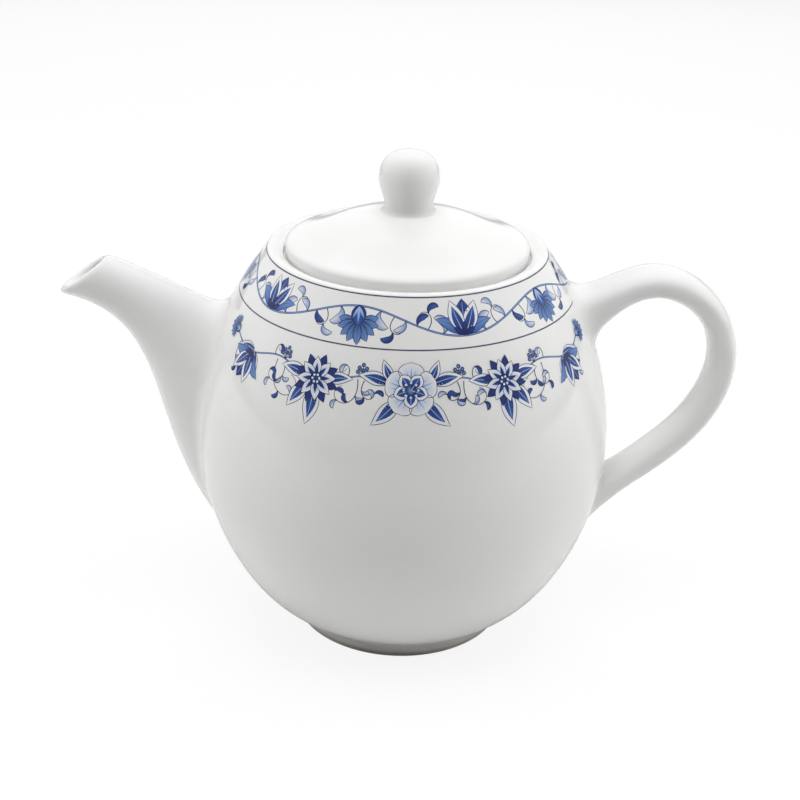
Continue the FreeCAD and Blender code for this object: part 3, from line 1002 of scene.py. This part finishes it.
# Floor, light and camera
# A wide sheet of white paper carries the pot in a white room. Five soft lamps light it: a broad one above,
# which the glaze mirrors, one above the front, one behind and one at each side.
paper_size = 8000.0
paper_glow = 0.88
room_light = 0.01
room_gloss, room_gloss_tilt = 0.62, 0.38


def ray_wires(tree):
    """Empties a tree and gives two wires: 1 where the camera looks, and 1 where gloss looks."""
    tree.nodes.clear()
    rays = tree.nodes.new("ShaderNodeLightPath")
    straight, through, glossy = (
        Wire(tree, rays.outputs[f"Is {kind} Ray"]) for kind in ("Camera", "Transmission", "Glossy"))
    return straight.math("MAXIMUM", straight, through), glossy


paper_corners = [(x * paper_size, y * paper_size, 0) for x, y in ((-1, -1), (1, -1), (1, 1), (-1, 1))]
floor = new_piece("paper_floor", paper_corners, faces=[(0, 1, 2, 3)])
paper = bpy.data.materials.new("white_paper")
paper.use_nodes = True
seen, _ = ray_wires(paper.node_tree)
matt = seen.node("ShaderNodeBsdfDiffuse", {"Color": (0.84, 0.84, 0.83, 1)})
white = seen.node("ShaderNodeBsdfDiffuse", {"Color": (0.97, 0.97, 0.97, 1)})
bright = seen.node("ShaderNodeEmission", {"Color": (1, 1, 1, 1), "Strength": 1.0})
lit_paper = seen.node("ShaderNodeMixShader", {0: paper_glow, 1: white, 2: bright})
seen_paper = seen.node("ShaderNodeMixShader", {0: seen, 1: matt, 2: lit_paper})
seen_paper.feed(paper.node_tree.nodes.new("ShaderNodeOutputMaterial"), "Surface")
floor.data.materials.append(paper)

room = bpy.data.worlds.new("studio")
bpy.context.scene.world = room
room.use_nodes = True
seen, glossy = ray_wires(room.node_tree)
towards = seen.node("ShaderNodeTexCoord", output="Generated")
backwards = seen.node("ShaderNodeSeparateXYZ", {0: towards}, output=1)
mirrored_room = room_gloss + backwards * room_gloss_tilt
strength = room_light + seen * (1 - room_light) + glossy * (mirrored_room - room_light)
backdrop = seen.node("ShaderNodeBackground", {"Color": (1, 1, 1, 1), "Strength": strength})
backdrop.feed(room.node_tree.nodes.new("ShaderNodeOutputWorld"), "Surface")


def soft_light(name, place, target, size, power, in_gloss=False):
    """A square soft light that faces a target. The glaze mirrors it only if it is in the gloss."""
    data = bpy.data.lights.new(name, "AREA")
    data.size = size
    data.energy = power
    light = bpy.data.objects.new(name, data)
    light.location = place
    light.visible_glossy = in_gloss
    light.rotation_euler = (Vector(target) - Vector(place)).to_track_quat("-Z", "Y").to_euler()
    bpy.context.scene.collection.objects.link(light)


soft_light("light_above", (0, 0.15, 1.2), (0, 0, 0.1), size=1.6, power=4.4, in_gloss=True)
soft_light("light_in_front", (0, -0.3, 1.38), (0, 0, 0.1), size=0.9, power=11.4)
soft_light("light_behind", (0, 1.0, 0.7), (0, 0, 0.1), size=1.0, power=4.2)
soft_light("light_left", (-1.0, 0.1, 0.45), (0, 0, 0.08), size=0.8, power=4.6)
soft_light("light_right", (1.0, 0.1, 0.45), (0, 0, 0.08), size=0.8, power=5.4)

camera_place = Vector((0, -0.4056, 0.26555))
camera_turn, camera_tilt, camera_roll = -0.0028, 0.4396, 0.0255
ahead = Vector((
    math.sin(camera_turn) * math.cos(camera_tilt), math.cos(camera_turn) * math.cos(camera_tilt),
    -math.sin(camera_tilt)))
right = Vector((math.cos(camera_turn), -math.sin(camera_turn), 0))
above = right.cross(ahead)
side = right * math.cos(camera_roll) + above * math.sin(camera_roll)
above = above * math.cos(camera_roll) - right * math.sin(camera_roll)
camera_data = bpy.data.cameras.new("camera")
camera_data.lens = 63.0
camera = bpy.data.objects.new("camera", camera_data)
camera.matrix_world = Matrix.Translation(camera_place) @ Matrix((side, above, -ahead)).transposed().to_4x4()
bpy.context.scene.collection.objects.link(camera)
bpy.context.scene.camera = camera
bpy.context.scene.view_settings.view_transform = "Standard"
